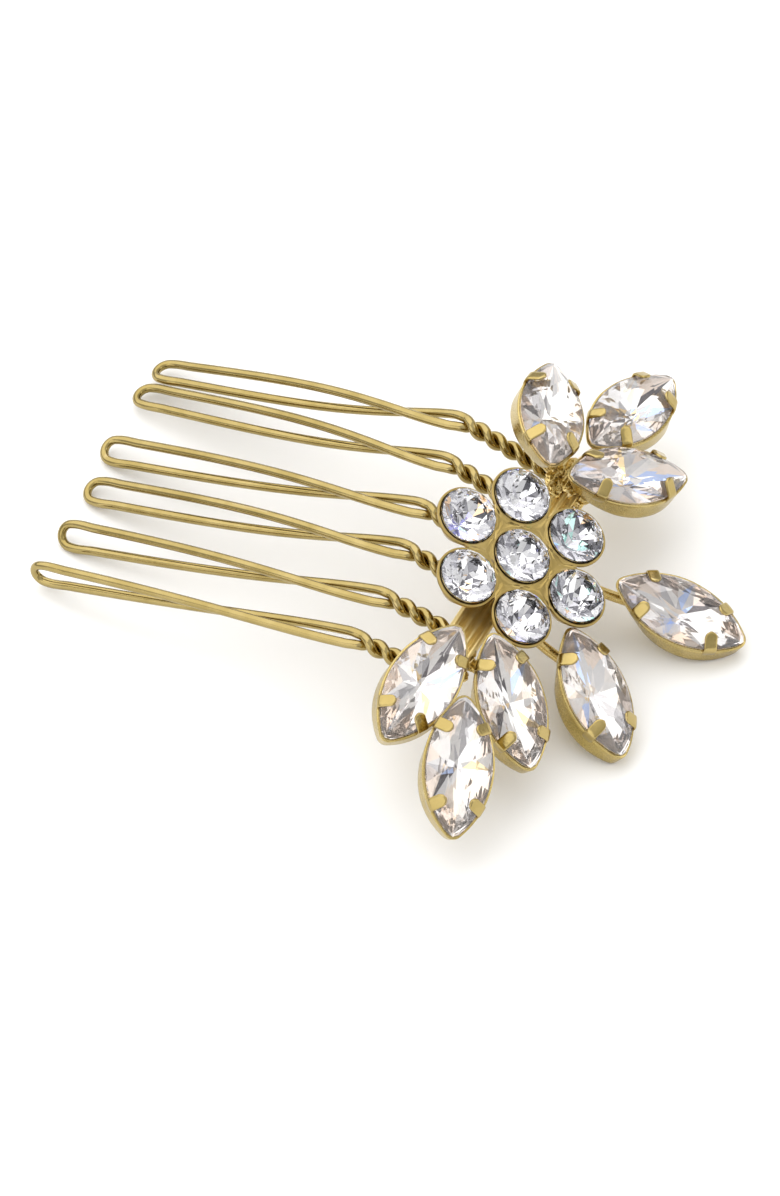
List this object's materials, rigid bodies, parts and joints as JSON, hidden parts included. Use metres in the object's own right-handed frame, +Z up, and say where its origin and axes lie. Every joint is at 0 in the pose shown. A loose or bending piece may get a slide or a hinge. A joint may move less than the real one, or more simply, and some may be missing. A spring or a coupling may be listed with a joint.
{
  "type": "decorative hair comb",
  "caption": "Gold wire hair comb with twisted wire teeth, topped by a flower of round clear stones and sprays of pointed leaf-shaped stones in cups.",
  "frame": {"origin": "centre of the comb's bounding box in plan, on the surface that it rests on", "axes": "+X along the bar, +Y from the stones towards the tooth tips, +Z up; the comb rests on the tips of its teeth and the cups of its two front leaves"},
  "size_m": [0.0661, 0.0772, 0.0189],
  "materials": {
    "bar_gold": "gold-plated metal, ridged, slightly uneven",
    "cast_gold": "pale gold-plated casting, satin to polished",
    "cup_gold": "pale gold-plated sheet cup, satin walls and bright prongs",
    "wire_gold": "polished pale gold-plated round wire with faint drawing lines",
    "solder_gold": "plated solder beads and stems, softly lumpy",
    "crystal": "clear foil-backed faceted glass stone, bright sparkle with small grey and coloured facets"
  },
  "bodies": {
    "root": {"back_bar": "bar_gold", "flower_setting": "cast_gold", "flower_stone_centre": "crystal", "flower_stone_1": "crystal", "flower_stone_2": "crystal", "flower_stone_3": "crystal", "flower_stone_4": "crystal", "flower_stone_5": "crystal", "flower_stone_6": "crystal", "tooth_1": "wire_gold", "tooth_2": "wire_gold", "tooth_3": "wire_gold", "tooth_4": "wire_gold", "tooth_5": "wire_gold", "tooth_6": "wire_gold", "tooth_solder_1": "solder_gold", "tooth_solder_2": "solder_gold", "tooth_solder_3": "solder_gold", "tooth_solder_4": "solder_gold", "tooth_solder_5": "solder_gold", "tooth_solder_6": "solder_gold", "leaf_cup_1": "cup_gold", "leaf_cup_2": "cup_gold", "leaf_cup_3": "cup_gold", "leaf_cup_4": "cup_gold", "leaf_cup_5": "cup_gold", "leaf_cup_6": "cup_gold", "leaf_cup_7": "cup_gold", "leaf_cup_8": "cup_gold", "leaf_stone_1": "crystal", "leaf_stone_2": "crystal", "leaf_stone_3": "crystal", "leaf_stone_4": "crystal", "leaf_stone_5": "crystal", "leaf_stone_6": "crystal", "leaf_stone_7": "crystal", "leaf_stone_8": "crystal", "leaf_stem_1": "solder_gold", "leaf_stem_2": "solder_gold", "leaf_stem_3": "solder_gold", "leaf_stem_4": "solder_gold", "leaf_stem_5": "solder_gold", "leaf_stem_6": "solder_gold", "leaf_stem_7": "solder_gold", "leaf_stem_8": "solder_gold"}
  },
  "joints": []
}
